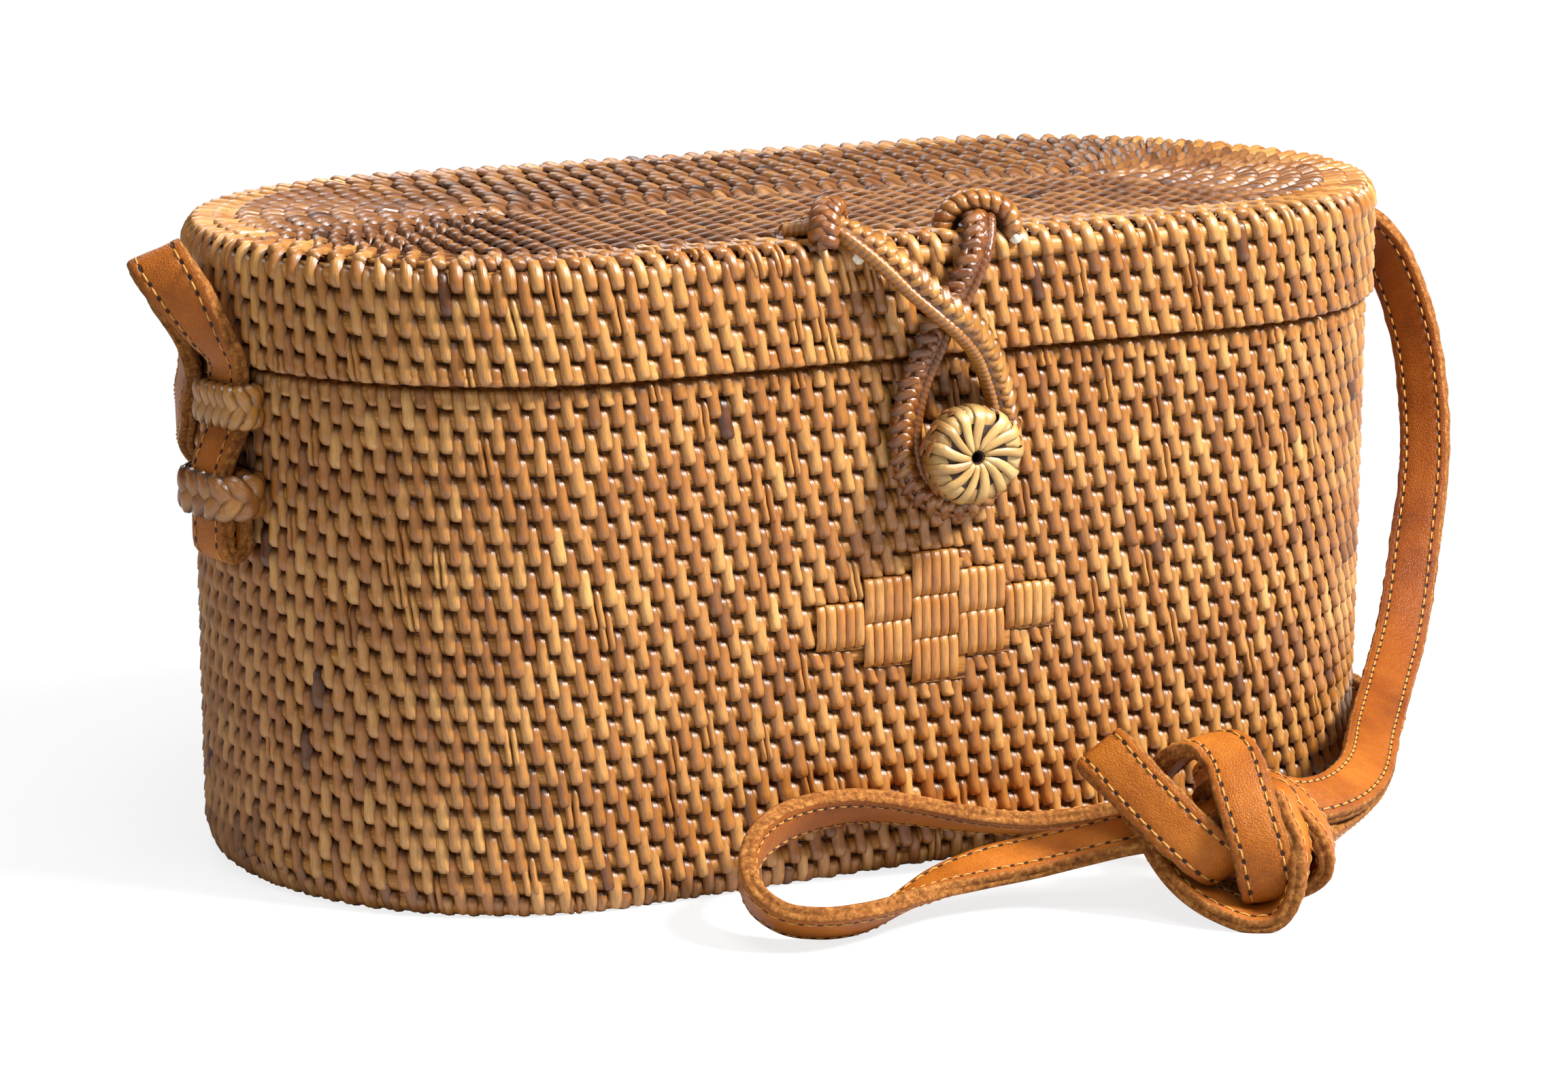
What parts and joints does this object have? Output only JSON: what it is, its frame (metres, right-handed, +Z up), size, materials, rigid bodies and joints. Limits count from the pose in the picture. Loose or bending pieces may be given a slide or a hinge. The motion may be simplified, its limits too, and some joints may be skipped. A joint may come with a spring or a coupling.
{
  "type": "basket bag",
  "caption": "Oval coiled cane basket bag with a hinged lid, a button and braided loop closure and a knotted tan leather shoulder strap.",
  "frame": {"origin": "middle of the basket's flat foot, on the surface that it stands on", "axes": "+Z up, +X along the basket's length towards its right end seen from the front, front with the button at -Y"},
  "size_m": [0.3378, 0.222, 0.147],
  "materials": {
    "cane": "satin",
    "cane_dark": "satin",
    "straw": "satin",
    "leather": "satin"
  },
  "bodies": {
    "basket": {"basket_body": "cane", "button": "straw", "button_shank": "cane_dark", "hinge_body_left": "cane_dark", "hinge_body_right": "cane_dark", "ring_upper_left": "cane_dark", "ring_lower_left": "cane_dark", "ring_upper_right": "cane_dark", "ring_lower_right": "cane_dark", "strap_end_left": "leather", "strap_end_right": "leather", "strap_left_run": "leather", "strap_right_run": "leather", "strap_bight": "leather", "strap_knot": "leather"},
    "lid": {"lid": "cane", "lid_knot_left": "cane_dark", "lid_knot_right": "cane_dark", "closure_loop": "cane_dark", "hinge_lid_left": "cane_dark", "hinge_lid_right": "cane_dark"}
  },
  "joints": [
    {"name": "lid_hinge", "type": "hinge", "parent": "basket", "child": "lid", "pos_m": [0, 0.0726, 0.11295], "axis": [-1, 0, 0], "range_deg": [0, 105], "deforming": ["closure_loop"]}
  ]
}
